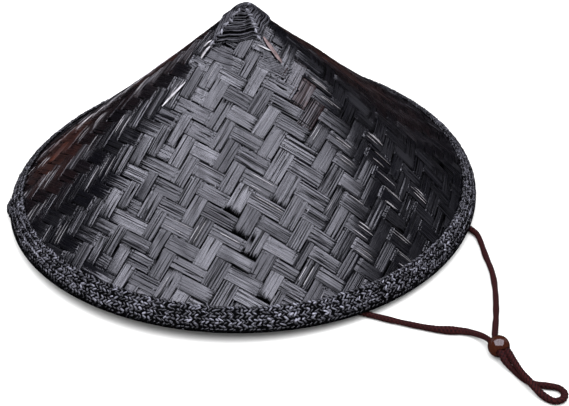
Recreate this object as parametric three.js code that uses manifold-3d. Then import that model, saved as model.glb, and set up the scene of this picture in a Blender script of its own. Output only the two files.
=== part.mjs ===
// A woven bamboo rice paddy hat with its chin cord, in millimetres, +Z up.
// The hat stands on the plane z = 0 the way it rests by itself: the rim touches at the back left and lies
// on its own cord at the front right. The origin is on that plane, under the middle of the hat.
// Azimuths are in degrees, counterclockwise seen from above, from the front (-Y) towards +X.

import * as THREE from 'three';
import { mergeVertices } from 'three/addons/utils/BufferGeometryUtils.js';
import Module from 'manifold-3d';

// Cone
const RIM_RADIUS = 200;
// The flat pattern of the cone is three quarters of a disc, one quarter for each of its three soft faces.
const PATTERN_SHARE = 0.75;
const SLANT_LENGTH = RIM_RADIUS / PATTERN_SHARE;
const CONE_HEIGHT = Math.sqrt(SLANT_LENGTH ** 2 - RIM_RADIUS ** 2);
const TIP_ROUNDING = 9.4;
const WALL = 2;
const AZIMUTH_STEPS = 72;

// Soft ridges between the faces: how far they stand out half way down, and where one of them is
const RIDGE_COUNT = 3;
const RIDGE_PUSH = 6.1;
const RIDGE_AZIMUTH = 60;

// Swellings of the wall: how far they stand out, where their middle is, and how far they reach round and down
const SWELLS = [
  { push: 4.1, azimuth: 157, slant: 0.75, width: 28, reach: 0.22 },
  { push: 3, azimuth: 137, slant: 0.46, width: 25, reach: 0.15 },
];

// Warp of the rim: it is a little oval, and raised along the oval's long axis
const WARP_AZIMUTH = -36;
const WARP_OVAL = 6.9;
const WARP_LIFT = 3.4;

// Braided binding that grips the edge of the cone
const BAND_WIDTH = 21;
const BAND_THICKNESS = 2.3;
const UNDER_WIDTH = 12;
const SLOT_END = 5.7;

// Wound cap over the tip, with a point on each ridge
const CAP_SLANT_ON_RIDGE = 0.165;
const CAP_SLANT_ON_FACE = 0.13;
const CAP_THICKNESS = 1.7;

// How the hat rests
const TILT_AZIMUTH = 60;
const TILT_RISE = 2.4;
const REST_PLACE = [-0.04, -0.19, 8.935];

// Chin cord, its end knots and its bead
const CORD_DIAMETER = 4.5;
const CORD_SIDES = 8;
const CORD_STEPS = 79;
const KNOT_RADIUS = 4.6;
const KNOT_SLANT = 0.93;
const KNOT_AZIMUTHS = { cord_knot_right: 84, cord_knot_left: -96 };
const BEAD_DIAMETER = 16.5;
const BEAD_CENTRE = [186.5, -215.2];
const BEAD_AZIMUTH = 24;
const BEAD_HOLE_WIDTH = 10.9;
const BEAD_HOLE_HEIGHT = 5.9;

// Gap between pieces that touch
const GAP = 0.3;

// The cord's route along its middle: from the right knot through the bead, round the loop at its end, back
// through the bead and under the hat to the left knot. It lies on the plane but for the knots and the bead.
const CORD_ROUTE = [
  [178.3, -23.4, 14.3], [178.7, -31.4, 8.9], [179.9, -39.6, 4.4], [182.4, -47.8, 2.6], [186.4, -55.4, 2.4],
  [190.6, -62.4, 2.4], [192.4, -73, 2.4], [193.8, -92, 2.4], [196.1, -116, 2.4], [195.2, -140, 2.4],
  [191.2, -172, 2.7], [186.9, -194.5, 6.6], [185.3, -206.9, 8.4], [188.74, -214.2, 8.25], [192, -221.5, 8.25],
  [195.6, -232.4, 7.7], [199.8, -245, 7.3], [203.6, -252.6, 6.6], [207.4, -258.4, 4.6], [212.8, -264.8, 2.8],
  [219.2, -269.2, 2.4], [225.4, -267.2, 2.4], [228, -261, 2.4], [224.8, -255.2, 2.4], [217, -252.8, 2.4],
  [207.6, -250.6, 2.4], [200.4, -244, 2.4], [194.6, -235.4, 2.7], [189.8, -228.4, 5.3], [187.6, -223.6, 7.9],
  [184.26, -216.2, 8.25], [180.9, -208.8, 8.2], [176.6, -199.2, 5], [166.4, -191.4, 2.7], [143, -188, 2.4],
  [94.4, -171, 2.4], [20, -136, 2.4], [-130, -24, 2.6], [-155.4, 2, 4.2], [-173.2, 16, 10.1],
];

const radians = THREE.MathUtils.degToRad;

// Signed difference of two azimuths, between -180 and 180
function azimuthGap(azimuth, other) {
  return THREE.MathUtils.euclideanModulo(azimuth - other + 180, 360) - 180;
}

// How far the wall stands out of a straight cone
function push(azimuth, slant) {
  const ridges = Math.cos(RIDGE_COUNT * radians(azimuth - RIDGE_AZIMUTH));
  let out = RIDGE_PUSH * 4 * slant * (1 - slant) * ridges;
  for (const swell of SWELLS) {
    const across = azimuthGap(azimuth, swell.azimuth) / swell.width;
    const along = (slant - swell.slant) / swell.reach;
    out += swell.push * Math.exp(-(across ** 2) - along ** 2);
  }
  return out;
}

// A point of the hat, before it is tilted: slant runs from 0 at the tip to 1 at the rim's edge, and rise is
// the distance out of the cone's outer face.
function hatPoint(azimuth, slant, rise) {
  const angle = radians(azimuth);
  const drop = Math.hypot(CONE_HEIGHT * slant, TIP_ROUNDING);
  const slope = Math.atan((CONE_HEIGHT ** 2 * slant) / (drop * RIM_RADIUS));
  const out = slant > 0 ? rise + push(azimuth, slant) : rise;
  const warp = slant ** 3 * Math.cos(2 * radians(azimuth - WARP_AZIMUTH));
  const radius = RIM_RADIUS * slant + out * Math.sin(slope) + WARP_OVAL * warp;
  const height = CONE_HEIGHT - drop + out * Math.cos(slope) + WARP_LIFT * warp;
  return new THREE.Vector3(radius * Math.sin(angle), -radius * Math.cos(angle), height);
}

// A closed solid swept once round the axis. Each station is a function of the azimuth that gives a slant and a
// rise. Stations run down the outside and back up the inside. A solid with poles starts and ends on the axis.
function sweepRound(stations, hasPoles) {
  const positions = [];
  const rows = stations.map((station, index) => {
    const isPole = hasPoles && (index === 0 || index === stations.length - 1);
    const row = [];
    for (let step = 0; step < AZIMUTH_STEPS; step += 1) {
      if (!isPole || step === 0) {
        const azimuth = (360 * step) / AZIMUTH_STEPS;
        const [slant, rise] = station(azimuth);
        positions.push(...hatPoint(azimuth, slant, rise).toArray());
      }
      row.push(positions.length / 3 - 1);
    }
    return row;
  });
  if (!hasPoles) {
    rows.push(rows[0]);
  }
  const triangles = [];
  const addTriangle = (a, b, c) => {
    if (a !== b && b !== c && c !== a) {
      triangles.push(a, b, c);
    }
  };
  for (let index = 0; index + 1 < rows.length; index += 1) {
    for (let step = 0; step < AZIMUTH_STEPS; step += 1) {
      const next = (step + 1) % AZIMUTH_STEPS;
      const upper = rows[index];
      const lower = rows[index + 1];
      addTriangle(upper[step], lower[step], lower[next]);
      addTriangle(upper[step], lower[next], upper[next]);
    }
  }
  const geometry = new THREE.BufferGeometry();
  geometry.setAttribute('position', new THREE.Float32BufferAttribute(positions, 3));
  geometry.setIndex(triangles);
  geometry.computeVertexNormals();
  return geometry;
}

function coneBody() {
  const slants = [0.012, 0.03, 0.06, 0.1, 0.16, 0.24, 0.34, 0.45, 0.56, 0.67, 0.76, 0.85];
  slants.push(1 - BAND_WIDTH / SLANT_LENGTH);
  const edge = 1 - (SLOT_END + GAP) / SLANT_LENGTH;
  const outer = [...slants, edge].map((slant) => () => [slant, 0]);
  const inner = [edge, ...slants.toReversed()].map((slant) => () => [slant, -WALL]);
  return sweepRound([() => [0, 0], ...outer, ...inner, () => [0, -WALL]], true);
}

// The binding's section: back is the distance up the slope from the rim's circle, rise as in hatPoint. Its
// flat sole is what the hat stands on.
function rimBinding() {
  const top = GAP + BAND_THICKNESS;
  const floor = -WALL - GAP;
  const section = [
    { back: BAND_WIDTH, rise: GAP },
    { back: BAND_WIDTH, rise: top * 0.6 },
    { back: BAND_WIDTH - 1.6, rise: top * 0.92 },
    { back: BAND_WIDTH - 6, rise: top },
    { back: 8, rise: top * 0.88 },
    { back: 3.6, rise: 1.4 },
    { back: 0.9, rise: 0.1 },
    { back: -0.8, rise: -1.2 },
    { back: -1.45, rise: -2.2 },
    { back: -1.68, rise: -2.52 },
    { back: 0.72, rise: -4.63 },
    { back: 6.5, rise: -4.9 },
    { back: UNDER_WIDTH - 0.8, rise: -4.4 },
    { back: UNDER_WIDTH, rise: -3.6 },
    { back: UNDER_WIDTH, rise: floor },
    { back: SLOT_END, rise: floor },
    { back: SLOT_END, rise: GAP },
  ];
  return sweepRound(section.map(({ back, rise }) => () => [1 - back / SLANT_LENGTH, rise]), false);
}

// The cap's lower edge comes down to a point on each ridge and arches up over each face.
function apexCap() {
  const reach = (azimuth) => {
    const ridge = Math.cos(RIDGE_COUNT * radians(azimuth - RIDGE_AZIMUTH));
    return THREE.MathUtils.lerp(CAP_SLANT_ON_FACE, CAP_SLANT_ON_RIDGE, ((1 + ridge) / 2) ** 1.5);
  };
  const top = GAP + CAP_THICKNESS;
  const shares = [0.08, 0.2, 0.38, 0.6, 0.82];
  const outer = shares.map((share) => (azimuth) => [share * reach(azimuth), top]);
  const lip = [
    (azimuth) => [0.97 * reach(azimuth), top * 0.85],
    (azimuth) => [reach(azimuth), GAP + 0.8],
    (azimuth) => [reach(azimuth), GAP],
  ];
  const inner = shares.toReversed().map((share) => (azimuth) => [share * reach(azimuth), GAP]);
  return sweepRound([() => [0, top], ...outer, ...lip, ...inner, () => [0, GAP]], true);
}

// The cord is one tube along its route.
function chinCord() {
  const section = new THREE.Shape();
  section.absarc(0, 0, CORD_DIAMETER / 2, 0, 2 * Math.PI);
  const path = new THREE.CatmullRomCurve3(CORD_ROUTE.map((point) => new THREE.Vector3(...point)));
  return new THREE.ExtrudeGeometry(section, {
    steps: CORD_STEPS,
    extrudePath: path,
    curveSegments: CORD_SIDES / 2,
  });
}

// A round knot that the cord's end comes out of
function cordKnot() {
  const knot = new THREE.SphereGeometry(KNOT_RADIUS, 12, 8);
  knot.rotateX(Math.PI / 2);
  return knot;
}

function asManifold(wasm, geometry) {
  const plain = geometry.clone();
  plain.deleteAttribute('normal');
  plain.deleteAttribute('uv');
  const merged = mergeVertices(plain, 1e-4);
  return new wasm.Manifold(new wasm.Mesh({
    numProp: 3,
    vertProperties: new Float32Array(merged.attributes.position.array),
    triVerts: new Uint32Array(merged.index.array),
  }));
}

// The bead's hole runs along Y and is wide enough for two runs of the cord, side by side.
function cordBead(wasm) {
  const ball = new THREE.SphereGeometry(BEAD_DIAMETER / 2, 16, 12);
  const radius = BEAD_HOLE_HEIGHT / 2;
  const side = BEAD_HOLE_WIDTH / 2 - radius;
  const slot = new THREE.Shape();
  slot.absarc(side, 0, radius, -Math.PI / 2, Math.PI / 2);
  slot.absarc(-side, 0, radius, Math.PI / 2, (3 * Math.PI) / 2);
  const length = BEAD_DIAMETER + 4;
  const drill = new THREE.ExtrudeGeometry(slot, { depth: length, bevelEnabled: false, curveSegments: 6 });
  drill.translate(0, 0, -length / 2);
  drill.rotateX(Math.PI / 2);
  const mesh = asManifold(wasm, ball).subtract(asManifold(wasm, drill)).getMesh();
  const geometry = new THREE.BufferGeometry();
  geometry.setAttribute('position', new THREE.BufferAttribute(mesh.vertProperties, 3));
  geometry.setIndex(new THREE.BufferAttribute(mesh.triVerts, 1));
  geometry.computeVertexNormals();
  return geometry;
}

function makeMesh(name, geometry, material) {
  const mesh = new THREE.Mesh(geometry, material);
  mesh.name = name;
  return mesh;
}

function makeHat() {
  const weave = new THREE.MeshStandardMaterial({ color: 0x24242a, roughness: 0.35, metalness: 0 });
  const braid = new THREE.MeshStandardMaterial({ color: 0x1c1b1e, roughness: 0.5, metalness: 0 });
  const wound = new THREE.MeshStandardMaterial({ color: 0x2a282b, roughness: 0.45, metalness: 0 });
  const hat = new THREE.Group();
  hat.add(makeMesh('cone_body', coneBody(), weave));
  hat.add(makeMesh('rim_binding', rimBinding(), braid));
  hat.add(makeMesh('apex_cap', apexCap(), wound));
  const raised = radians(TILT_AZIMUTH);
  hat.rotateOnAxis(new THREE.Vector3(-Math.cos(raised), -Math.sin(raised), 0), TILT_RISE / RIM_RADIUS);
  hat.position.set(...REST_PLACE);
  return hat;
}

// The knots hang against the inside of the hat, so they are placed in the hat's own tilt.
function makeCord(wasm, hat) {
  const textile = new THREE.MeshStandardMaterial({ color: 0x3d1a17, roughness: 0.85, metalness: 0 });
  const polished = new THREE.MeshStandardMaterial({ color: 0x4a1a12, roughness: 0.25, metalness: 0 });
  const cord = new THREE.Group();
  cord.add(makeMesh('chin_cord', chinCord(), textile));
  hat.updateMatrixWorld(true);
  for (const [name, azimuth] of Object.entries(KNOT_AZIMUTHS)) {
    const knot = makeMesh(name, cordKnot(), textile);
    const place = hatPoint(azimuth, KNOT_SLANT, -WALL - GAP - KNOT_RADIUS);
    knot.position.copy(hat.localToWorld(place));
    cord.add(knot);
  }
  const bead = makeMesh('cord_bead', cordBead(wasm), polished);
  bead.position.set(...BEAD_CENTRE, BEAD_DIAMETER / 2);
  bead.rotation.z = radians(BEAD_AZIMUTH);
  cord.add(bead);
  return cord;
}

const wasm = await Module();
wasm.setup();

const model = new THREE.Group();
const hat = makeHat();
model.add(hat);
model.add(makeCord(wasm, hat));

export default model;
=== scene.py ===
"""A black woven rice paddy hat with its chin cord, lying on a pale floor.

The hat's lengths are in millimetres up to the last step, which makes metres of them. Azimuths are in degrees
from the front (-Y) towards +X. A slant runs from 0 at the tip to 1 at the rim's edge, along the cone.
"""

import math

import bpy
import numpy as np
from mathutils import Matrix, Vector


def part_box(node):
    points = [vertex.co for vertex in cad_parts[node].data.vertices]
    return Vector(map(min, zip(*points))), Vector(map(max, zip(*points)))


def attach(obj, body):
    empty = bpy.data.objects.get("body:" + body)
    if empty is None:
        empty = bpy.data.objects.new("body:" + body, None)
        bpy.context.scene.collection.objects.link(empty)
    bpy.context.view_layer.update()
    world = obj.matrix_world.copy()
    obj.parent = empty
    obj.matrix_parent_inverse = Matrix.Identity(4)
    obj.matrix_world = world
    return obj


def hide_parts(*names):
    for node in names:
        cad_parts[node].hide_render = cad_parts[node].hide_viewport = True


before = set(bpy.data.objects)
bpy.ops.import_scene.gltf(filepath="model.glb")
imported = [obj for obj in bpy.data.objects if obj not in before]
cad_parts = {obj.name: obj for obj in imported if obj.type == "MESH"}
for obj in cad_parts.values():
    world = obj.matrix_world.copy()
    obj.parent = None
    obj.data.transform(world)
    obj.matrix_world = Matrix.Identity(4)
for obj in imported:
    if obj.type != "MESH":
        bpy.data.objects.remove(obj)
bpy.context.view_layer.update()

MM = 0.001
SEED = 20

# The hat's form
RIM_RADIUS = 200.0
PATTERN_SHARE = 0.75
SLANT_LENGTH = RIM_RADIUS / PATTERN_SHARE
CONE_HEIGHT = math.sqrt(SLANT_LENGTH**2 - RIM_RADIUS**2)
TIP_ROUNDING = 9.4
WALL = 2.0
RIDGE_COUNT = 3
RIDGE_PUSH = 6.1
RIDGE_AZIMUTH = 60.0
# Each swell: its middle as azimuth and slant, its reach in both, and how far it stands out
SWELLS = [
    (157, 0.75, 28, 0.22, 4.1), (137, 0.46, 25, 0.15, 3.0), (30, 0.3, 15, 0.2, 3.3),
    (17, 0.15, 16, 0.08, 1.5),
]
WARP_AZIMUTH = -36.0
WARP_OVAL = 6.9
WARP_LIFT = 3.4
TILT_AZIMUTH = 60.0
TILT_RISE = 2.4
REST_PLACE = np.array([-0.04, -0.19, 8.935])

# The weave: three families of straight strips on the cone's flat pattern, with directions measured from the
# front's middle line. The strips are hand cut, so each has its own width, from the tip outwards.
FIRST_DIRECTION = -29.4
FAMILY_TURN = 90.0
FAMILY_STARTS = [0.0, 1.2, -1.2]
STRIP_WIDTHS = [
    [11, 11.5, 11, 11, 13, 10.5, 12.5, 13, 13, 13.5, 13, 13,
     12, 12.5, 11, 11.5, 12.5, 10.5, 12.5, 12, 10.5, 11, 12],
    [9.8, 11.8, 10.2, 10.5, 12, 12.8, 13.7, 14.3, 13.7, 13.4, 12.3,
     7.3, 12.4, 12.3, 10.5, 11.5, 11, 11.5, 12, 11.5, 12],
    [9.2, 10.5, 10.5, 10.5, 10.5, 11, 11, 11.5, 11.5, 12, 12, 11.5,
     12, 11, 12, 11.5, 12.5, 12, 11, 12, 12, 12, 12],
]
TWILL_STARTS = [2, 2, 0]
# Where on the flat pattern the strips slide a little, right and down: the place, its reach and the slide
WEAVE_SLIDES = [((32, 75), 42, (2.6, 1.5)), ((120, 190), 75, (2.5, 4.5))]
# The steps of the thin sheets round the hat, in degrees
SHEET_STEP = 2.5
STRIP_GAP = 0.8
WEAVE_EDGE = 8.0
LEAST_STRIP = 4
LAYER_STEP = 0.45
STRIP_THICKNESS = 0.45
# The three shines of the strips, and the share of the runs that have each of them
LOOK_SHINES = [0.7, 0.95, 1.25]
LOOK_CHANCES = [0.3, 0.45, 0.25]
# Runs of the front with a burnt, frayed end, and smooth ones, as family, strip and first strip crossed
FRAYED_RUNS = [(1, 6, 11), (1, 7, 12), (1, 8, 13), (1, 10, 15)]
SMOOTH_RUNS = [
    (1, 9, 14), (1, 8, 5), (1, 9, 6), (1, 3, 4), (1, 0, 9), (1, 1, 6), (1, 0, 5), (1, 1, 10), (1, 2, 3),
    (0, 16, 4), (0, 5, 1), (0, 11, 3), (0, 10, 2),
]

# Where the dye is worn to brown: each patch's middle as azimuth and slant, its reach in both and its strength
BROWN_PATCHES = [
    (-92, 0.77, 15, 0.11, 1.2), (-108, 0.3, 26, 0.2, 0.7), (118, 0.35, 22, 0.35, 0.5),
    (36, 0.31, 5, 0.07, 0.8),
]

# The braided rim: its section from the inner edge over the top to the under side, as back from the rim's
# circle and rise out of the cone's outer face
RIM_SECTION = np.array([
    [19.0, 0.4], [19.0, 1.56], [17.4, 2.39], [15.0, 2.6], [8.0, 2.29], [3.6, 1.4], [0.9, 0.1], [-0.8, -1.2],
    [-1.45, -2.2], [-1.68, -2.52], [0.72, -4.63], [6.5, -4.9], [11.2, -4.4], [12.0, -3.6], [12.0, -2.5],
])
SLOT_END = 5.7
RIM_INSET = 0.75

# The wound cap, with the corners of its edge as azimuth and slant
CAP_EDGE = [
    (-60, 0.112), (-47, 0.170), (-32, 0.146), (-16, 0.134), (0, 0.125), (14, 0.122), (24, 0.132), (40, 0.104),
    (95, 0.084), (140, 0.1), (165, 0.122), (190, 0.104), (240, 0.085), (285, 0.088),
]
CAP_CORNERS = [-47, 24, 165]
CAP_STRANDS = 9

# The cord, its knots and its bead
CORD_DIAMETER = 4.5
CORD_ROUTE = np.array([
    [178.3, -23.4, 14.3], [178.7, -31.4, 8.9], [179.9, -39.6, 4.4], [182.4, -47.8, 2.6], [186.4, -55.4, 2.4],
    [190.6, -62.4, 2.4], [192.4, -73, 2.4], [193.8, -92, 2.4], [196.1, -116, 2.4], [195.2, -140, 2.4],
    [191.2, -172, 2.7], [186.9, -194.5, 6.6], [185.3, -206.9, 8.4], [188.74, -214.2, 8.25],
    [192, -221.5, 8.25], [195.6, -232.4, 7.7], [199.8, -245, 7.3], [203.6, -252.6, 6.6], [207.4, -258.4, 4.6],
    [212.8, -264.8, 2.8], [219.2, -269.2, 2.4], [225.4, -267.2, 2.4], [228, -261, 2.4], [224.8, -255.2, 2.4],
    [217, -252.8, 2.4], [207.6, -250.6, 2.4], [200.4, -244, 2.4], [194.6, -235.4, 2.7], [189.8, -228.4, 5.3],
    [187.6, -223.6, 7.9], [184.26, -216.2, 8.25], [180.9, -208.8, 8.2], [176.6, -199.2, 5],
    [166.4, -191.4, 2.7], [143, -188, 2.4], [94.4, -171, 2.4], [20, -136, 2.4], [-130, -24, 2.6],
    [-155.4, 2, 4.2], [-173.2, 16, 10.1],
])
BEAD_DIAMETER = 16.5
BEAD_CENTRE = np.array([186.5, -215.2, BEAD_DIAMETER / 2])
BEAD_AZIMUTH = 24.0
BEAD_HOLE_WIDTH = 10.9
BEAD_HOLE_HEIGHT = 5.9

# The camera, at the photograph's angle
CAMERA_PLACE = [-7.2, -1061.3, 703.1]
CAMERA_PITCH = 33.88
CAMERA_YAW = 2.18
CAMERA_ROLL = 1.59
CAMERA_LENS = 93.7
SENSOR_WIDTH = 36.0


def patches(azimuth, slant, rows):
    """The sum of soft round patches at a place, each with its own strength in the middle."""
    total = 0.0
    for middle, middle_slant, width, reach, strength in rows:
        across = ((azimuth - middle + 180) % 360 - 180) / width
        along = (slant - middle_slant) / reach
        total = total + strength * np.exp(-(across**2) - along**2)
    return total


def push(azimuth, slant):
    """How far the wall stands out of a straight cone."""
    ridges = np.cos(RIDGE_COUNT * np.radians(azimuth - RIDGE_AZIMUTH))
    return RIDGE_PUSH * 4 * slant * (1 - slant) * ridges + patches(azimuth, slant, SWELLS)


def tilt_matrix():
    """The hat's small tilt on its own cord."""
    raised = math.radians(TILT_AZIMUTH)
    axis = Vector((-math.cos(raised), -math.sin(raised), 0))
    return np.array(Matrix.Rotation(TILT_RISE / RIM_RADIUS, 3, axis))


TILT = tilt_matrix()


def hat_point(azimuth, slant, rise):
    """Points of the resting hat. rise is the distance out of the cone's outer face."""
    values = [np.asarray(value, float) for value in (azimuth, slant, rise)]
    azimuth, slant, rise = np.broadcast_arrays(*values)
    angle = np.radians(azimuth)
    drop = np.hypot(CONE_HEIGHT * slant, TIP_ROUNDING)
    slope = np.arctan(CONE_HEIGHT**2 * slant / (drop * RIM_RADIUS))
    out = rise + push(azimuth, slant) * (slant > 0)
    warp = slant**3 * np.cos(2 * np.radians(azimuth - WARP_AZIMUTH))
    radius = RIM_RADIUS * slant + out * np.sin(slope) + WARP_OVAL * warp
    height = CONE_HEIGHT - drop + out * np.cos(slope) + WARP_LIFT * warp
    points = np.stack([radius * np.sin(angle), -radius * np.cos(angle), height], -1)
    return points @ TILT.T + REST_PLACE


def unit(vectors):
    return vectors / np.maximum(np.linalg.norm(vectors, axis=-1, keepdims=True), 1e-12)


def even_turns(count):
    return np.linspace(0, 2 * np.pi, count, endpoint=False)


def marks_at(across, along):
    return np.stack(np.broadcast_arrays(across, along), -1)


def line_lengths(line):
    """The distance along a line to each of its points."""
    return np.concatenate([[0], np.cumsum(np.linalg.norm(np.diff(line, axis=0), axis=1))])


def rings_round(line, side, up, wide, high, turn):
    """Rings of points round a line. Their half width and half height may change along it and round it."""
    wide, high = (np.asarray(size, float) for size in (wide, high))
    wide, high = (size.reshape(size.shape + (1,) * (3 - size.ndim)) for size in (wide, high))
    turn = turn[None, :, None]
    return line[:, None] + wide * np.cos(turn) * side[:, None] + high * np.sin(turn) * up[:, None]


def sheet_rings(azimuth, slants, outer_rise, inner_rise):
    """A thin closed sheet round the hat, with a ring of points at each azimuth."""
    outer = [hat_point(azimuth, slant, outer_rise) for slant in slants]
    inner = [hat_point(azimuth, slant, inner_rise) for slant in slants[::-1]]
    return np.stack(outer + inner).transpose(1, 0, 2)


class Pile:
    """Many closed sweeps that are joined into one mesh. A vertex has two marks, its place across and along
    its strand in millimetres, two tones, how brown and how light it is, and how burnt it is on the strips,
    or how deep in a crease on the cord, where it is painted shade."""

    def __init__(self):
        self.points = []
        self.marks = []
        self.tones = []
        self.burn_and_crease_shade = []
        self.quads = []
        self.caps = []
        self.looks = []
        self.cap_looks = []
        self.count = 0

    def add(self, rings, marks, tones, is_ring=False, burn_and_crease_shade=0.0, look=0):
        """rings has the shape (pieces, rings, sides, 3), marks (pieces, rings, sides, 2), tones (pieces, 2).
        look is the number of the material."""
        pieces, steps, sides, _ = rings.shape
        index = self.count + np.arange(pieces * steps * sides).reshape(pieces, steps, sides)
        near = index if is_ring else index[:, :-1]
        far = np.roll(index, -1, 1) if is_ring else index[:, 1:]
        quads = np.stack([near, np.roll(near, -1, 2), np.roll(far, -1, 2), far], -1)
        middle = rings.mean((1, 2), keepdims=True)
        flat = (rings - middle).reshape(-1, 3)
        corners = flat[quads - self.count]
        faces = np.cross(corners[..., 2, :] - corners[..., 0, :], corners[..., 3, :] - corners[..., 1, :])
        volume = (faces * corners.mean(-2)).sum((1, 2, 3))
        quads = np.where((volume < 0)[:, None, None, None], quads[..., ::-1], quads)
        self.quads.append(quads.reshape(-1, 4))
        self.looks.append(np.full(quads.size // 4, look))
        if not is_ring:
            inward = volume < 0
            first = np.where(inward[:, None], index[:, 0], index[:, 0, ::-1])
            last = np.where(inward[:, None], index[:, -1, ::-1], index[:, -1])
            self.caps.extend(first.tolist())
            self.caps.extend(last.tolist())
            self.cap_looks.append(np.full(2 * pieces, look))
        self.points.append(rings.reshape(-1, 3))
        self.marks.append(np.broadcast_to(marks, rings.shape[:3] + (2,)).reshape(-1, 2))
        self.tones.append(np.repeat(np.asarray(tones, float), steps * sides, 0))
        burnt = np.broadcast_to(burn_and_crease_shade, rings.shape[:3]).reshape(-1)
        self.burn_and_crease_shade.append(np.stack([burnt, np.zeros_like(burnt)], 1))
        self.count += pieces * steps * sides

    def add_one(self, rings, marks, tones, is_ring=False, burn_and_crease_shade=0.0, look=0):
        self.add(rings[None], marks[None], [tones], is_ring, np.asarray(burn_and_crease_shade)[None], look)

    def build(self, name, materials, slot, smooth_angle=40.0):
        points = np.concatenate(self.points) * MM
        faces = np.concatenate(self.quads).tolist() + self.caps
        mesh = bpy.data.meshes.new(name)
        mesh.from_pydata(points.tolist(), [], faces)
        corner = np.zeros(len(mesh.loops), np.int32)
        mesh.loops.foreach_get("vertex_index", corner)
        for layer_name, values in (("marks", self.marks), ("tones", self.tones), ("burn_and_crease_shade", self.burn_and_crease_shade)):
            layer = mesh.uv_layers.new(name=layer_name)
            layer.data.foreach_set("uv", np.concatenate(values)[corner].astype(np.float32).ravel())
        mesh.shade_smooth()
        mesh.set_sharp_from_angle(angle=math.radians(smooth_angle))
        for material in materials:
            mesh.materials.append(material)
        looks = np.concatenate(self.looks + self.cap_looks).astype(np.int32)
        mesh.polygons.foreach_set("material_index", looks)
        return place_piece(name, mesh)


def place_piece(name, mesh):
    piece = bpy.data.objects.new(name, mesh)
    bpy.context.scene.collection.objects.link(piece)
    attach(piece, "root")
    return piece


# Camera

def make_camera():
    data = bpy.data.cameras.new("camera")
    data.lens = CAMERA_LENS
    data.sensor_width = SENSOR_WIDTH
    data.clip_end = 50
    camera = bpy.data.objects.new("camera", data)
    turn = Matrix.Rotation(math.radians(-CAMERA_YAW), 4, "Z")
    pitch = Matrix.Rotation(math.radians(90 - CAMERA_PITCH), 4, "X")
    roll = Matrix.Rotation(math.radians(CAMERA_ROLL), 4, "Z")
    camera.matrix_world = Matrix.Translation(Vector(CAMERA_PLACE) * MM) @ turn @ pitch @ roll
    bpy.context.scene.collection.objects.link(camera)
    bpy.context.scene.camera = camera


# Materials

def is_socket(value):
    return isinstance(value, bpy.types.NodeSocket)


class Nodes:
    """Short names for the nodes of one material."""

    def __init__(self, name):
        self.material = bpy.data.materials.new(name)
        self.material.use_nodes = True
        self.tree = self.material.node_tree
        self.shader = self.tree.nodes["Principled BSDF"]

    def node(self, kind, inputs=None, **settings):
        made = self.tree.nodes.new(kind)
        for key, value in settings.items():
            setattr(made, key, value)
        for key, value in (inputs or {}).items():
            self.put(made.inputs[key], value)
        return made

    def put(self, socket, value):
        if is_socket(value):
            self.tree.links.new(value, socket)
        else:
            socket.default_value = value

    def marks(self, scale_across, scale_along):
        """The strand's own coordinates, scaled."""
        uv = self.node("ShaderNodeUVMap", uv_map="marks")
        mapped = self.node("ShaderNodeMapping", {"Vector": uv.outputs[0]})
        mapped.inputs["Scale"].default_value = (scale_across, scale_along, 1)
        return mapped.outputs[0]

    def uv_value(self, layer, index=0):
        uv = self.node("ShaderNodeUVMap", uv_map=layer)
        return self.node("ShaderNodeSeparateXYZ", {0: uv.outputs[0]}).outputs[index]

    def tone(self, index):
        return self.uv_value("tones", index)

    def noise(self, scale, detail=2.0, roughness=0.5):
        """Noise in the space of the object, where the scale is for metres."""
        inputs = {"Scale": scale, "Detail": detail, "Roughness": roughness}
        return self.node("ShaderNodeTexNoise", inputs).outputs["Fac"]

    def strand_noise(self, scale_across, scale_along, detail=2.0, roughness=0.5):
        """Noise in the space of the strand, where the scales are for millimetres."""
        vector = self.marks(scale_across, scale_along)
        inputs = {"Vector": vector, "Scale": 1.0, "Detail": detail, "Roughness": roughness}
        return self.node("ShaderNodeTexNoise", inputs).outputs["Fac"]

    def ramp(self, value, low, high, to_low=0.0, to_high=1.0):
        inputs = {"Value": value, "From Min": low, "From Max": high, "To Min": to_low, "To Max": to_high}
        return self.node("ShaderNodeMapRange", inputs).outputs[0]

    def math(self, operation, first, second=0.0):
        return self.node("ShaderNodeMath", {0: first, 1: second}, operation=operation).outputs[0]

    def add(self, first, *others):
        for other in others:
            first = self.math("ADD", first, other)
        return first

    def times(self, first, second):
        return self.math("MULTIPLY", first, second)

    def minus(self, first, second):
        return self.math("SUBTRACT", first, second)

    def mix(self, share, first, second):
        """A mix of two colours, each a socket or red, green and blue."""
        first, second = (colour if is_socket(colour) else (*colour, 1) for colour in (first, second))
        return self.node("ShaderNodeMix", {0: share, 6: first, 7: second}, data_type="RGBA").outputs[2]

    def bump(self, height, distance, strength):
        inputs = {"Height": height, "Distance": distance, "Strength": strength}
        return self.node("ShaderNodeBump", inputs).outputs[0]

    def set(self, **values):
        for key, value in values.items():
            self.put(self.shader.inputs[key.replace("_", " ")], value)
        return self.material


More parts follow.
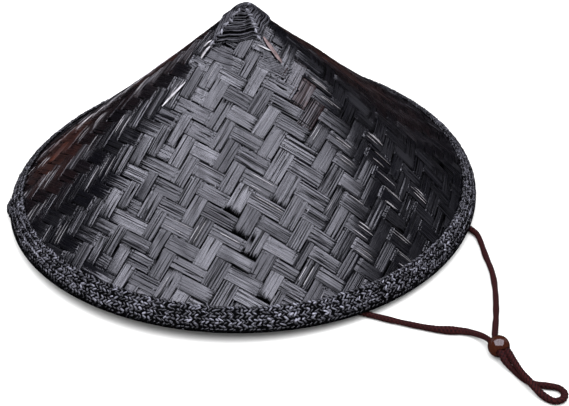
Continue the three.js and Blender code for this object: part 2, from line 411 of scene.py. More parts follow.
def bamboo_material(name, shine):
    """Flat dyed strips: fine fibres and thin splits run along each strip, with painted shade in the splits,
    and worn ends are burnt dark.
    """
    n = Nodes(name)
    dark = (0.001, 0.001, 0.0016)
    wear_and_highlight = (0.0045, 0.0045, 0.006)
    brown = (0.12, 0.034, 0.017)
    shade_and_burn_black = (0.0004, 0.0004, 0.0004)
    fibre = n.strand_noise(1.3, 0.03, 3.0, 0.65)
    split = n.strand_noise(0.5, 0.007, 1.0)
    split_shade_ramp = n.ramp(n.math("ABSOLUTE", n.minus(split, 0.5)), 0.006, 0.03)
    stain = n.strand_noise(0.07, 0.05, 4.0, 0.6)
    spot = n.ramp(n.strand_noise(0.45, 0.16, 2.0, 0.6), 0.7, 0.76)
    fray = n.times(n.strand_noise(1.8, 0.05, 3.0), 1.3)
    burn = n.ramp(n.add(n.uv_value("burn_and_crease_shade"), fray), 1.22, 1.42)
    # Painted shade: the splits are painted black; the burnt ends and the spots are the strips' own dark
    # colour.
    hole = n.math("MAXIMUM", n.minus(1.0, split_shade_ramp), n.math("MAXIMUM", burn, spot))
    rust = n.times(n.tone(0), n.ramp(stain, 0.35, 0.65, 0.3, 1.0))
    tinted = n.mix(rust, n.mix(fibre, dark, wear_and_highlight), brown)
    colour = n.mix(hole, tinted, shade_and_burn_black)
    rough = n.add(
        n.ramp(stain, 0.3, 0.75, 0.12, 0.28),
        n.ramp(n.tone(1), 0, 1, -0.03, 0.08),
        n.ramp(fibre, 0.3, 0.7, -0.04, 0.06),
        n.times(n.tone(0), 0.25),
        n.times(hole, 0.55),
    )
    bump = n.bump(n.minus(n.times(fibre, 0.4), n.times(hole, 0.6)), 0.00022, 0.6)
    # A black metal has no gloss, so the painted split shade and burnt ends stay black in any light, brown
    # places brown
    dull = n.math("MAXIMUM", hole, n.times(rust, 0.85))
    return n.set(Base_Color=colour, Roughness=rough, Normal=bump, Specular_IOR_Level=shine, Metallic=dull)


# Each kind of strand: its fresh and its lighter colour, which is wear on the brown slivers and a painted
# highlight on the braid, the cap and the fibres, its least and its most roughness, and its shine
STRAND_LOOKS = {
    "binding_core": ((0.0005, 0.0005, 0.0005), (0.001, 0.001, 0.001), (0.9, 1.0), 0.05),
    "rim_braid": ((0.0008, 0.0008, 0.001), (0.31, 0.31, 0.34), (0.14, 0.32), 0.65),
    "wound_strand": ((0.001, 0.001, 0.0015), (0.34, 0.34, 0.36), (0.15, 0.3), 0.4),
    "fibre_painted_glint": ((0.12, 0.115, 0.11), (0.62, 0.6, 0.57), (0.2, 0.4), 1.0),
    "worn_sliver": ((0.05, 0.025, 0.02), (0.2, 0.13, 0.11), (0.25, 0.4), 0.6),
}


def strand_material(name):
    """Thin strands, in their lighter colour where a tone says so: wear on the brown slivers, and a painted
    highlight on the braid, the cap and the fibres.
    """
    fresh, wear_and_highlight, rough, shine = STRAND_LOOKS[name]
    n = Nodes(name)
    fibre = n.strand_noise(2.2, 0.25, 3.0, 0.6)
    blotch = n.strand_noise(0.25, 0.12)
    colour = n.mix(n.times(n.tone(1), n.ramp(blotch, 0.35, 0.65)), fresh, wear_and_highlight)
    rough = n.ramp(fibre, 0.3, 0.7, *rough)
    bump = n.bump(fibre, 0.0002, 0.6)
    return n.set(Base_Color=colour, Roughness=rough, Normal=bump, Specular_IOR_Level=shine)


def cord_material():
    n = Nodes("braided_cord")
    dark = (0.012, 0.002, 0.002)
    light = (0.045, 0.006, 0.005)
    faded = (0.055, 0.009, 0.008)
    painted_crease_shade = (0.002, 0.0006, 0.0006)
    fibre = n.strand_noise(1.6, 0.8, 3.0, 0.6)
    fade = n.strand_noise(0.2, 0.05)
    thread = n.mix(n.ramp(fibre, 0.35, 0.65), dark, light)
    colour = n.mix(n.ramp(fade, 0.4, 0.7, 0.0, 0.3), thread, faded)
    # Painted shade: the braid's creases are painted darker.
    colour = n.mix(n.ramp(n.uv_value("burn_and_crease_shade"), 0.15, 0.6), colour, painted_crease_shade)
    return n.set(Base_Color=colour, Roughness=0.8, Normal=n.bump(fibre, 0.0004, 0.7), Specular_IOR_Level=0.12)


def bead_material():
    n = Nodes("polished_bead")
    dark = (0.012, 0.003, 0.002)
    light = (0.06, 0.015, 0.006)
    streaked = (0.02, 0.006, 0.004)
    grain = n.noise(90.0, 3.0, 0.6)
    streak = n.node("ShaderNodeTexWave", {"Scale": 60.0, "Distortion": 6.0, "Detail": 2.0}).outputs["Fac"]
    colour = n.mix(n.ramp(streak, 0.6, 1.0, 0.0, 0.5), n.mix(grain, dark, light), streaked)
    bump = n.bump(grain, 0.00005, 0.3)
    polish = {"Coat_Weight": 0.6, "Coat_Roughness": 0.05}
    return n.set(Base_Color=colour, Roughness=0.12, Normal=bump, Specular_IOR_Level=0.6, **polish)


def floor_material():
    n = Nodes("pale_floor")
    colour = n.mix(n.noise(3.0), (0.835, 0.84, 0.725), (0.845, 0.85, 0.735))
    return n.set(Base_Color=colour, Roughness=0.9, Specular_IOR_Level=0.2)


# Cord

CURVE_STEPS = 24


def cord_line(points, spacing):
    """A centripetal Catmull-Rom curve through the points, as even steps of about the spacing."""
    ends = [2 * points[0] - points[1], 2 * points[-1] - points[-2]]
    p = np.vstack([ends[0], points, ends[1]])
    shares = np.linspace(0, 1, CURVE_STEPS, endpoint=False)[:, None]
    line = []
    for a, b, c, d in zip(p, p[1:], p[2:], p[3:]):
        before, middle, after = (np.sqrt(np.linalg.norm(v)) for v in (b - a, c - b, d - c))
        start = ((b - a) / before - (c - a) / (before + middle) + (c - b) / middle) * middle
        end = ((c - b) / middle - (d - b) / (middle + after) + (d - c) / after) * middle
        cubic = 2 * b - 2 * c + start + end
        square = -3 * b + 3 * c - 2 * start - end
        line.append(b + start * shares + square * shares**2 + cubic * shares**3)
    line = np.vstack(line + [points[-1:]])
    length = line_lengths(line)
    count = int(round(length[-1] / spacing)) + 1
    even = np.linspace(0, length[-1], count)
    return np.stack([np.interp(even, length, line[:, axis]) for axis in range(3)], 1), even


def tube_frames(line):
    """Two directions across each point of a line, with no twist from one point to the next."""
    ahead = unit(np.gradient(line, axis=0))
    side = np.zeros_like(line)
    side[0] = unit(np.cross(ahead[0], [0, 0, 1.0]))
    for i in range(1, len(line)):
        kept = side[i - 1] - ahead[i] * (side[i - 1] @ ahead[i])
        side[i] = kept / np.linalg.norm(kept)
    return side, np.cross(ahead, side)


BRAID_STRANDS = 4
BRAID_PITCH = 6.0
# The cord's radius in a crease of its braid and how much more it is on a crown, as shares of the plain radius
BRAID_CREASE = 0.83
BRAID_CROWN = 0.25
CORD_SIDES = 24
CORD_SPACING = 0.6
CORD_LEAST_HEIGHT = 0.045
# Thicker places of the cord: the middle, the reach and how much thicker
CORD_SWELLS = [
    ([153.0, -189.0], 9.0, 0.6), ([166.0, -190.5], 4.0, 0.15), ([190.5, -223.5], 8.0, 0.28),
    ([215.0, -262.0], 13.0, 0.25),
]
SWELL_SHARPNESS = 1.4


def braid_height(around, along):
    """The relief of a round braid, from 0 in a crease to 1 on a crown."""
    left = around * BRAID_STRANDS + along / BRAID_PITCH * BRAID_STRANDS / 2
    right = -around * BRAID_STRANDS + along / BRAID_PITCH * BRAID_STRANDS / 2
    on_top = (np.floor(left) + np.floor(right)) % 2 < 1
    across = np.where(on_top, right % 1, left % 1)
    return np.sin(np.pi * across) ** 0.7


def make_cord(material):
    line, along = cord_line(CORD_ROUTE, CORD_SPACING)
    side, up = tube_frames(line)
    thick = np.ones(len(line))
    for middle, reach, more in CORD_SWELLS:
        away = np.linalg.norm(line[:, :2] - np.array(middle), axis=1) / reach
        thick += more * np.exp(-(away**2) * SWELL_SHARPNESS)
    thick *= 1 + 0.05 * np.sin(along / 5.3) + 0.04 * np.sin(along / 2.9 + 1)
    around, distance = np.meshgrid(np.linspace(0, 1, CORD_SIDES, endpoint=False), along)
    crown = braid_height(around, distance)
    radius = CORD_DIAMETER / 2 * thick[:, None] * (BRAID_CREASE + BRAID_CROWN * crown)
    rings = rings_round(line, side, up, radius, radius, even_turns(CORD_SIDES))
    rings[..., 2] = np.maximum(rings[..., 2], CORD_LEAST_HEIGHT)
    marks = marks_at(around * np.pi * CORD_DIAMETER, distance)
    pile = Pile()
    # The depth in each crease of the braid sets the cord's painted shade.
    pile.add_one(rings, marks, [0, 0], burn_and_crease_shade=1 - crown)
    piece = pile.build("cord", [material], "braided_cord", 60)
    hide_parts("chin_cord")
    return piece, line, along[-1]


# A knot's strand as a share of the knot's radius, and the knot's height as a share of its width
KNOT_STRAND = 0.36
KNOT_HEIGHT = 0.9


def make_knot(name, node, material):
    """A small overhand knot in the space of its node."""
    low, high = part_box(node)
    centre = (np.array(low) + np.array(high)) / 2 / MM
    radius = (high.x - low.x) / 2 / MM
    t = even_turns(72)
    line = np.stack([np.sin(t) + 2 * np.sin(2 * t), np.cos(t) - 2 * np.cos(2 * t), -1.6 * np.sin(3 * t)], 1)
    strand = radius * KNOT_STRAND
    # The curve reaches 3 out from its middle
    line = line * ((radius - strand) / 3.0) * [1, 1, KNOT_HEIGHT] + centre
    ahead = unit(np.roll(line, -1, 0) - np.roll(line, 1, 0))
    side = unit(np.cross(ahead, line - centre))
    angle = even_turns(12)
    rings = rings_round(line, side, np.cross(ahead, side), strand, strand, angle)
    pile = Pile()
    pile.add_one(rings, marks_at(angle[None] * strand, t[:, None] * radius), [0, 0], is_ring=True)
    piece = pile.build(name, [material], "braided_cord", 60)
    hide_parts(node)
    return piece


BEAD_LIP = 0.5


def bead_hole(around):
    """The radius of the bead's long hole, which has two flat sides and two round ends."""
    round_end = BEAD_HOLE_HEIGHT / 2
    flat = BEAD_HOLE_WIDTH / 2 - round_end
    c = np.abs(np.cos(around))
    s = np.abs(np.sin(around))
    end_reach = flat * c + np.sqrt(np.maximum(round_end**2 - (flat * s) ** 2, 0))
    return np.where(c * round_end <= flat * s, round_end / np.maximum(s, 1e-6), end_reach)


def make_bead(material):
    """A ball with a flattened hole for two runs of the cord."""
    ball = BEAD_DIAMETER / 2
    around = even_turns(64)
    hole = bead_hole(around)
    start = np.arcsin((hole + BEAD_LIP) / ball)
    rows = []
    for share in np.linspace(0, 1, 30):
        polar = start + share * (np.pi - 2 * start)
        rows.append((ball * np.sin(polar), ball * np.cos(polar)))
    for share in (0.97, 0.9, 0.5, 0.0, -0.5, -0.9, -0.97):
        inside = hole + (BEAD_LIP * 0.4 if abs(share) > 0.95 else 0)
        rows.append((inside, -ball * np.cos(start) * share))
    rows = np.array(rows)
    reach = rows[:, 0].T
    local = np.stack([reach * np.cos(around)[:, None], rows[:, 1].T, reach * np.sin(around)[:, None]], -1)
    turn = math.radians(BEAD_AZIMUTH)
    spin = np.array([[math.cos(turn), -math.sin(turn), 0], [math.sin(turn), math.cos(turn), 0], [0, 0, 1]])
    rings = local @ spin.T + BEAD_CENTRE
    pile = Pile()
    pile.add_one(rings, np.zeros((1, 1, 2)), [0, 0], is_ring=True)
    piece = pile.build("bead", [material], "polished_bead", 50)
    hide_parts("cord_bead")
    return piece


# Weave

def strip_edges(family):
    """Distances of the strips' edges from the tip, on the flat pattern."""
    return FAMILY_STARTS[family] + np.concatenate([[0], np.cumsum(STRIP_WIDTHS[family])])


def next_is_over(family, strip, other):
    """Whether a strip of the next family lies over this one where they cross."""
    return (other - strip - TWILL_STARTS[family]) % 4 < 2


def pattern_point(family, along, away, rise):
    """Points of the hat from places on the flat pattern: along a strip, and away from the tip across it."""
    turn = np.radians(FIRST_DIRECTION + family * FAMILY_TURN) + np.arctan2(along, away)
    full_turn = 2 * np.pi * PATTERN_SHARE
    turn = (turn + full_turn / 2) % full_turn - full_turn / 2
    distance = np.hypot(along, away)
    right = distance * np.sin(turn)
    down = distance * np.cos(turn)
    moved_right = right.copy()
    moved_down = down.copy()
    for (place_right, place_down), reach, (slide_right, slide_down) in WEAVE_SLIDES:
        share = np.exp(-((right - place_right) ** 2 + (down - place_down) ** 2) / reach**2)
        moved_right += share * slide_right
        moved_down += share * slide_down
    azimuth = np.degrees(np.arctan2(moved_right, moved_down)) / PATTERN_SHARE
    slant = np.clip(np.hypot(moved_right, moved_down), 0.5, SLANT_LENGTH - WEAVE_EDGE) / SLANT_LENGTH
    return hat_point(azimuth, slant, rise)


def strip_floats(family, strip):
    """The runs of a strip between the places where it changes sides: start, end and whether it is outside."""
    edges = strip_edges(family)
    middle = (edges[strip] + edges[strip + 1]) / 2
    reach = math.sqrt(max((SLANT_LENGTH - WEAVE_EDGE) ** 2 - middle**2, 0))
    right = strip_edges((family + 1) % 3)
    left = strip_edges((family + 2) % 3)
    cells = []
    for other in range(len(left) - 2, -1, -1):
        if left[other] < reach:
            over = next_is_over((family + 2) % 3, other, strip)
            cells.append((-min(left[other + 1], reach), -left[other], over))
    for other in range(len(right) - 1):
        if right[other] < reach:
            over = not next_is_over(family, strip, other)
            cells.append((right[other], min(right[other + 1], reach), over))
    floats = []
    for start, end, over in cells:
        if floats and floats[-1][2] == over:
            floats[-1] = (floats[-1][0], end, over)
        else:
            floats.append((start, end, over))
    return floats, reach


def smooth(x):
    x = np.clip(x, 0, 1)
    return x * x * (3 - 2 * x)


# How flat a run lies between its ends, from the cone's curve at 0 to a chord at 1, and the most that moves it
FLATNESS = 0.75
CHORD_LIMIT = 1.2
# A strip starts to change sides DIVE before a crossing, and has changed after DIVE_LENGTH
DIVE = 2.2
DIVE_LENGTH = 2.6
END_LENGTH = 2.4
END_STOPS = np.array([-DIVE, -DIVE / 2, -0.3, DIVE_LENGTH - DIVE, END_LENGTH])
RUN_STEP = 4.5
# The least and the most that a run bows out, where it is highest, and how much it twists
BOW = (0.08, 0.42)
BOW_PEAK = (0.6, 1.7)
TWIST = 0.13
EDGE_DROP = 0.1
GROOVE_WIDTH = 0.6
GROOVE_DEPTH = 0.5
BURNT_ENDS = [0, 0.3, 0.5, 0.75]
FRAYED_SHARE = 0.5
# How far apart the strips' materials are taken, so that no two look the same
LOOK_SPREAD = 900
SLIVER_COUNTS = [1, 2, 3, 4, 5, 6]
# The chances of each count, for each family of strips
SLIVER_CHANCES = [
    [0.12, 0.1, 0.18, 0.22, 0.2, 0.18],
    [0.32, 0.16, 0.15, 0.15, 0.12, 0.1],
    [0.2, 0.12, 0.18, 0.2, 0.17, 0.13],
]


def float_section(random, width, slivers):
    """The section of one float: places across it from -1 to 1, the heights of the slivers that it is split
    into, and the depths of the grooves between them."""
    cuts = np.cumsum(random.uniform(0.5, 1.5, slivers))
    cuts = np.concatenate([[0], cuts / cuts[-1]]) * 2 - 1
    cup = random.normal(0.03, 0.06)
    places = []
    heights = []
    grooves = []
    for first, last in zip(cuts, cuts[1:]):
        lift = random.normal(0, 0.06) if slivers > 1 else 0.0
        roundness = random.uniform(0.04, 0.16) if slivers > 2 else 0.04
        lean = random.normal(0, 0.045) * (last - first) * width / 2
        if random.random() < 0.12 and slivers > 2:
            lean *= 3
        inset = min(GROOVE_WIDTH / width, (last - first) * 0.2)
        stops = [0.0, 0.12, 0.5, 0.88, 1.0] if slivers == 1 else [0.0, 0.5, 1.0]
        for stop in stops:
            place = first + inset + (last - first - 2 * inset) * stop
            places.append(place)
            crown = roundness * (1 - (2 * stop - 1) ** 2)
            heights.append(lift + lean * (stop - 0.5) + crown - EDGE_DROP * abs(place) ** 6 - cup * place**2)
            grooves.append(0.0)
        if last < 0.999:
            places.append(last)
            heights.append(0.0)
            grooves.append(GROOVE_DEPTH * random.uniform(0.5, 1.2))
    return np.array(places), np.array(heights), np.array(grooves)


def between_edges(edges, places):
    """Points, or directions, across a strip between those on its two edges."""
    share = ((places + 1) / 2)[None, :, None]
    return edges[0][:, None] * (1 - share) + edges[1][:, None] * share


def add_float(pile, random, family, strip, start, end, is_outside, reach, tones, kind):
    """One run of a strip between two dives. kind is plain, smooth or frayed."""
    edges = strip_edges(family)
    inner = edges[strip] + STRIP_GAP / 2
    outer = edges[strip + 1] - STRIP_GAP / 2
    width = outer - inner
    middle_count = max(int(round((end - start - 2 * END_LENGTH) / RUN_STEP)), 1)
    middle = np.linspace(start + END_LENGTH, end - END_LENGTH, middle_count + 1)[1:-1]
    along = np.concatenate([start + END_STOPS, middle, (end - END_STOPS)[::-1]])
    along = np.unique(np.round(np.clip(along, -reach - 1, reach + 1), 4))
    if len(along) < 4:
        return
    dive = smooth((np.minimum(along - start, end - along) + DIVE) / DIVE_LENGTH)
    share = np.clip((along - start) / (end - start), 0, 1)
    peak = random.uniform(*BOW_PEAK)
    level = LAYER_STEP * (2 * dive - 1) + random.uniform(*BOW) * np.sin(np.pi * share**peak)
    lean = random.normal(0, TWIST) * np.sin(np.pi * share) ** 0.5
    slivers = int(random.choice(SLIVER_COUNTS, p=SLIVER_CHANCES[family]))
    if kind != "plain":
        slivers = 1
    if not is_outside:
        slivers = min(slivers, 2)
    places, heights, grooves = float_section(random, width, slivers)
    opening = np.clip(random.uniform(0.1, 1.2) + random.normal(0, 0.8) * (share - 0.5), 0.12, 1.1)
    bases = []
    outs = []
    for away in (inner, outer):
        base = pattern_point(family, along, away, 0.0)
        outs.append(pattern_point(family, along, away, 1.0) - base)
        ends = pattern_point(family, np.array([start, end]), away, 0.0)
        chord = ends[0] + (ends[1] - ends[0]) * share[:, None]
        inside = ((along > start) & (along < end))[:, None]
        bases.append(base + np.where(inside, np.clip(chord - base, -CHORD_LIMIT, CHORD_LIMIT) * FLATNESS, 0))
    face = level[:, None] + heights[None] + lean[:, None] * places[None] - opening[:, None] * grooves[None]
    back_places = np.array([1.0, 0.0, -1.0])
    back = np.repeat(level[:, None], len(back_places), 1) - EDGE_DROP
    across = np.concatenate([places, back_places])
    rise = np.concatenate([face + STRIP_THICKNESS / 2, back - STRIP_THICKNESS / 2], 1)
    rise = rise * (1 if is_outside else -1) - WALL / 2
    rings = between_edges(bases, across) + between_edges(outs, across) * rise[..., None]
    marks_across = across * width / 2 + random.uniform(0, LOOK_SPREAD)
    marks = marks_at(marks_across[None], (along + random.uniform(0, LOOK_SPREAD))[:, None])
    burnt_end = random.choice(BURNT_ENDS)
    burn_and_crease_shade = burnt_end * (share if random.random() < 0.7 else 1 - share) ** 2.5
    if kind == "frayed":
        burn_and_crease_shade = np.clip(1 - share / FRAYED_SHARE, 0, 1)
    look = int(random.choice(len(LOOK_SHINES), p=LOOK_CHANCES))
    pile.add_one(rings, marks, tones, burn_and_crease_shade=burn_and_crease_shade[:, None], look=look)


def run_kind(family, strip, start, end):
    """Whether a run is one of the smooth or frayed ones that stand out on the front."""
    for kind, runs in (("frayed", FRAYED_RUNS), ("smooth", SMOOTH_RUNS)):
        for run_family, run_strip, crossed in runs:
            near = strip_edges(1 - family)[crossed] if family < 2 else 0
            reached = start if family == 0 else -end
            if family == run_family and strip == run_strip and abs(reached - near) < 1.0:
                return kind
    return "plain"


# Where thin fibres with a painted glint lie on runs: the family, the field's two azimuths and two slants,
# the share of runs that have some, and the most fibres on a run
FIBRE_FIELDS = [
    (2, -105, -46, 0.13, 0.97, 0.6, 3), (0, 33, 62, 0.25, 0.95, 0.6, 4), (0, -40, 30, 0.2, 0.95, 0.15, 2),
    (1, -47, 40, 0.2, 0.95, 0.15, 2),
]
FIBRE_RADIUS = (0.12, 0.24)
FIBRE_RISE = 0.15
FIBRE_BOW = (0.15, 0.5)


def add_fibres(pile, random, family, strip, start, end, azimuth, slant):
    """Thin fibres along a run, light in colour as a painted glint."""
    edges = strip_edges(family)
    share = np.linspace(0, 1, 7)
    for field_family, left, right, top, bottom, chance, most in FIBRE_FIELDS:
        inside = left < azimuth < right and top < slant < bottom
        if field_family != family or not inside or random.random() > chance:
            continue
        for _ in range(random.integers(1, most + 1)):
            away = np.full(len(share), random.uniform(edges[strip] + 0.8, edges[strip + 1] - 0.8))
            margins = random.uniform(0.0, 0.35, 2) * (end - start)
            along = np.linspace(start + margins[0], end - margins[1], len(share))
            rise = FIBRE_RISE + random.uniform(*FIBRE_BOW) * np.sin(np.pi * share)
            middle = pattern_point(family, along, away, rise)
            normal = unit(pattern_point(family, along, away, rise + 1.0) - middle)
            side = np.cross(unit(np.gradient(middle, axis=0)), normal)
            radius = random.uniform(*FIBRE_RADIUS) * np.minimum(1, 0.3 + 4 * np.minimum(share, 1 - share))
            turn = even_turns(5)
            rings = rings_round(middle, side, normal, radius, radius, turn)
            # The fibre's share of its light colour is a painted glint.
            pile.add_one(rings, marks_at(turn[None], along[:, None]), [0, random.uniform(0.3, 1.0)])


# Sheets between the outer and the inner runs: bamboo near the tip, where the strips end, and dark below it
CORE_HALF_THICKNESS = 0.04
CORE_SHEETS = [
    {"slants": (0.07, 0.27), "rise": -1.0, "look": 0},
    {"slants": (0.25, 1 - WEAVE_EDGE / SLANT_LENGTH), "rise": -1.35, "look": 1},
]


def make_weave_core(materials):
    azimuth = np.arange(0, 360, SHEET_STEP)
    pile = Pile()
    for sheet in CORE_SHEETS:
        slants = np.linspace(*sheet["slants"], 14)
        rises = sheet["rise"] + CORE_HALF_THICKNESS, sheet["rise"] - CORE_HALF_THICKNESS
        rings = sheet_rings(azimuth, slants, *rises)
        reach = np.concatenate([slants, slants[::-1]]) * SLANT_LENGTH
        marks = marks_at(reach[None], azimuth[:, None])
        pile.add_one(rings, marks, [0, 0.5], is_ring=True, look=sheet["look"])
    piece = pile.build("weave_core", materials, "bamboo_weave", 60)
    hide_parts("cone_body")


def make_weave(materials, fibre_material):
    random = np.random.default_rng(SEED)
    fibre_random = np.random.default_rng(SEED + 4)
    fibres = Pile()
    outside = [Pile(), Pile()]
    inside = Pile()
    for family in range(3):
        edges = strip_edges(family)
        for strip in range(len(edges) - 1):
            if edges[strip] > SLANT_LENGTH - WEAVE_EDGE - LEAST_STRIP:
                continue
            floats, reach = strip_floats(family, strip)
            away = (edges[strip] + edges[strip + 1]) / 2
            for start, end, over in floats:
                middle = (start + end) / 2
                turn = FIRST_DIRECTION + family * FAMILY_TURN
                azimuth = (turn + math.degrees(math.atan2(middle, away))) / PATTERN_SHARE
                azimuth = (azimuth + 180) % 360 - 180
                slant = math.hypot(middle, away) / SLANT_LENGTH
                tones = [patches(azimuth, slant, BROWN_PATCHES) * random.uniform(0.3, 1.0), random.random()]
                pile = (outside[0] if family == 0 else outside[1]) if over else inside
                kind = run_kind(family, strip, start, end)
                add_float(pile, random, family, strip, start, end, over, reach, tones, kind)
                if over:
                    add_fibres(fibres, fibre_random, family, strip, start, end, azimuth, slant)
    pieces = [
        outside[0].build("weave_strips_across", materials, "bamboo_weave"),
        outside[1].build("weave_strips_down", materials, "bamboo_weave"),
        inside.build("weave_strips_inside", materials, "bamboo_weave"),
        fibres.build("weave_fibres", [fibre_material], "bamboo_weave", 60),
    ]
    for piece in pieces:
        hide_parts("cone_body")


# Stitches and strands that lie on a surface

def surface_frames(surface, first, second, step_first, step_second):
    """Points of a surface with the directions along its first and its second value, and out of it."""
    place = surface(first, second)
    along = unit(surface(first + step_first, second) - surface(first - step_first, second))
    down = surface(first, second + step_second) - surface(first, second - step_second)
    down = unit(down - along * (down * along).sum(-1, keepdims=True))
    return place, along, down, np.cross(down, along)


# The places along a leaf, as shares of its length from its middle, and how full it is there
LEAF_STOPS = np.array([-0.5, -0.25, 0.25, 0.5])
LEAF_FULLNESS = np.array([0.35, 1.0, 1.0, 0.35])


def add_leaves(pile, frames, lean, length, width, height, out, tones, dip=0.5):
    """Short rounded strands, thin at both ends, that lie on a surface and lean from its first direction."""
    place, along, down, normal = frames
    count = len(place)
    lean, length, width, height, out = (np.broadcast_to(v, count) for v in (lean, length, width, height, out))
    angle = np.radians(lean)[:, None]
    ahead = along * np.cos(angle) + down * np.sin(angle)
    side = down * np.cos(angle) - along * np.sin(angle)
    turn = even_turns(7) + 0.3
    centre = place[:, None] + ahead[:, None] * (LEAF_STOPS[None, :, None] * length[:, None, None])
    lift = out[:, None] - dip * height[:, None] * (2 * LEAF_STOPS[None]) ** 2
    centre = centre + normal[:, None] * lift[..., None]
    wide = width[:, None] / 2 * LEAF_FULLNESS[None]
    high = height[:, None] / 2 * LEAF_FULLNESS[None]
    rings = centre[:, :, None]
    rings = rings + side[:, None, None] * (wide[..., None] * np.cos(turn))[..., None]
    rings = rings + normal[:, None, None] * (high[..., None] * np.sin(turn))[..., None]
    number = np.arange(count)[:, None, None]
    marks_along = LEAF_STOPS[None, :, None] * length[:, None, None] + number * 1.3
    pile.add(rings, marks_at(np.cos(turn) * 1.2 + number * 3.7, marks_along), tones)


def rim_surface(azimuth, over):
    """The rim's section as a surface of azimuth and of the distance over it from the inner edge."""
    reach = line_lengths(RIM_SECTION)
    back = np.interp(over, reach, RIM_SECTION[:, 0])
    rise = np.interp(over, reach, RIM_SECTION[:, 1])
    return hat_point(azimuth, 1 - back / SLANT_LENGTH, rise)


# Rows of the braid's short strands: their pitch and lean, their length, width and height, and how high their
# middles lie on the rim's face. A plait is two rows that lean against each other.
ROWS = {
    "hem": (3.0, 14, 4.2, 1.0, 1.1, -0.5),
    "plait": (3.3, 33, 4.5, 1.55, 1.6, -0.5),
    "edge": (3.6, 28, 4.8, 1.8, 1.6, -0.75),
    "lower_edge": (3.6, -28, 4.8, 1.8, 1.6, -0.85),
    "under": (3.3, 32, 4.6, 1.7, 1.3, -0.85),
}
# Distances of the plaits from the inner edge
PLAITS = [3.7, 8.6, 13.6]
UNDER_PLAITS = [27.0, 32.2]


def add_row(pile, random, kind, over, wear_and_highlight, turn=1):
    """One row of strands, at a distance over the rim. The share given after the distance is how light the
    lightest of them may be: a painted highlight, stronger towards the front.
    """
    pitch, lean, length, width, height, out = ROWS[kind]
    count = int(round(2 * np.pi * RIM_RADIUS / pitch))
    azimuth = np.arange(count) * 360 / count + random.normal(0, 0.16, count) + random.uniform(0, 1)
    frames = surface_frames(rim_surface, azimuth, over + random.normal(0, 0.3, count), 0.3, 0.4)
    # The strands are painted lighter towards the front, as a highlight from the light in front.
    front_highlight_share = 0.55 + 0.45 * np.cos(np.radians(azimuth))
    tones = np.stack([np.zeros(count), wear_and_highlight * front_highlight_share * random.uniform(0, 1, count) ** 2], 1)
    leans = turn * lean + random.normal(0, 12, count)
    lengths = length * random.uniform(0.75, 1.2, count)
    widths = width * random.uniform(0.7, 1.2, count)
    outs = out + random.normal(0, 0.16, count)
    add_leaves(pile, frames, leans, lengths, widths, height * widths / widths.mean(), outs, tones)


def add_plait(pile, random, kind, over, half_width, wear_and_highlight):
    add_row(pile, random, kind, over - half_width, wear_and_highlight)
    add_row(pile, random, kind, over + half_width, wear_and_highlight, -1)


# The lump at the left where the braid's ends are tied off
LUMP = {"azimuth": -79.5, "half_width": 2.3, "over": 19.0, "half_reach": 3.2, "rise": 2.6, "strands": 46}


def add_lump(pile, random):
    count = LUMP["strands"]
    across = random.uniform(-1, 1, count)
    along = random.uniform(-1, 1, count)
    azimuth = LUMP["azimuth"] + LUMP["half_width"] * across
    frames = surface_frames(rim_surface, azimuth, LUMP["over"] + LUMP["half_reach"] * along, 0.3, 0.4)
    rise = LUMP["rise"] * (1 - 0.5 * across**2 - 0.4 * along**2) * random.uniform(0.35, 1, count)
    # The lump's strands are painted lighter at random, as highlight.
    tones = np.stack([np.zeros(count), 0.35 * random.uniform(0, 1, count) ** 2], 1)
    add_leaves(pile, frames, random.uniform(-75, 75, count), 6.0, 1.9, 1.7, rise, tones, dip=1.1)


def make_rim_core(material):
    """The band under the braid, which lies a little inside the rim's section."""
    azimuth = np.arange(0, 360, 2.0)
    directions = np.gradient(RIM_SECTION, axis=0)
    normals = unit(np.stack([directions[:, 1], -directions[:, 0]], 1))
    section = RIM_SECTION - normals * RIM_INSET
    section = np.vstack([section, [[SLOT_END, -WALL - 0.4], [SLOT_END, 0.2]]])
    rings = hat_point(azimuth[:, None], 1 - section[None, :, 0] / SLANT_LENGTH, section[None, :, 1])
    marks = marks_at(line_lengths(section)[None], np.radians(azimuth)[:, None] * RIM_RADIUS)
    pile = Pile()
    pile.add_one(rings, marks, [0, 0.2], is_ring=True)
    return pile.build("rim_core", [material], "rim_braid", 60)


def make_rim(core_material, material):
    random = np.random.default_rng(SEED + 1)
    plaits = Pile()
    # The share after each row's distance paints its highlight: full on the plaits on top, less on the edge
    # and the under side, none on the hem.
    add_row(plaits, random, "hem", 0.9, 0.0)
    for over in PLAITS:
        add_plait(plaits, random, "plait", over, 1.2, 1.0)
    edge = Pile()
    add_row(edge, random, "edge", 17.4, 0.5)
    add_row(edge, random, "lower_edge", 20.4, 0.1)
    for over in UNDER_PLAITS:
        add_plait(edge, random, "under", over, 1.25, 0.3)
    add_lump(edge, random)
    pieces = [
        make_rim_core(core_material),
        plaits.build("rim_plaits", [material], "rim_braid", 60),
        edge.build("rim_edge", [material], "rim_braid", 60),
    ]
    for piece in pieces:
        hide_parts("rim_binding")


# Cap

# The places of the cap's core from the tip to its edge, and the rises of its two faces
CAP_CORE_SHARES = [0.02, 0.2, 0.4, 0.6, 0.8, 0.97]
CAP_CORE_RISES = (0.75, 0.3)
# A strand round the cap, and the thinner one after it, which is there half the time
CAP_STRAND_SIZES = [
    {"offset": 0.0, "width": 1.5, "height": 1.5, "out": 1.35, "chance": 1.0},
    {"offset": 0.5, "width": 0.8, "height": 0.9, "out": 0.95, "chance": 0.5},
]
CAP_STITCHES = np.arange(0.2, 1.06, 0.088)


def cap_reach(azimuth):
    azimuths, slants = zip(*CAP_EDGE)
    return np.interp(azimuth, azimuths, slants, period=360)


def cap_surface(azimuth, share):
    return hat_point(azimuth, share * cap_reach(azimuth), 0.0)


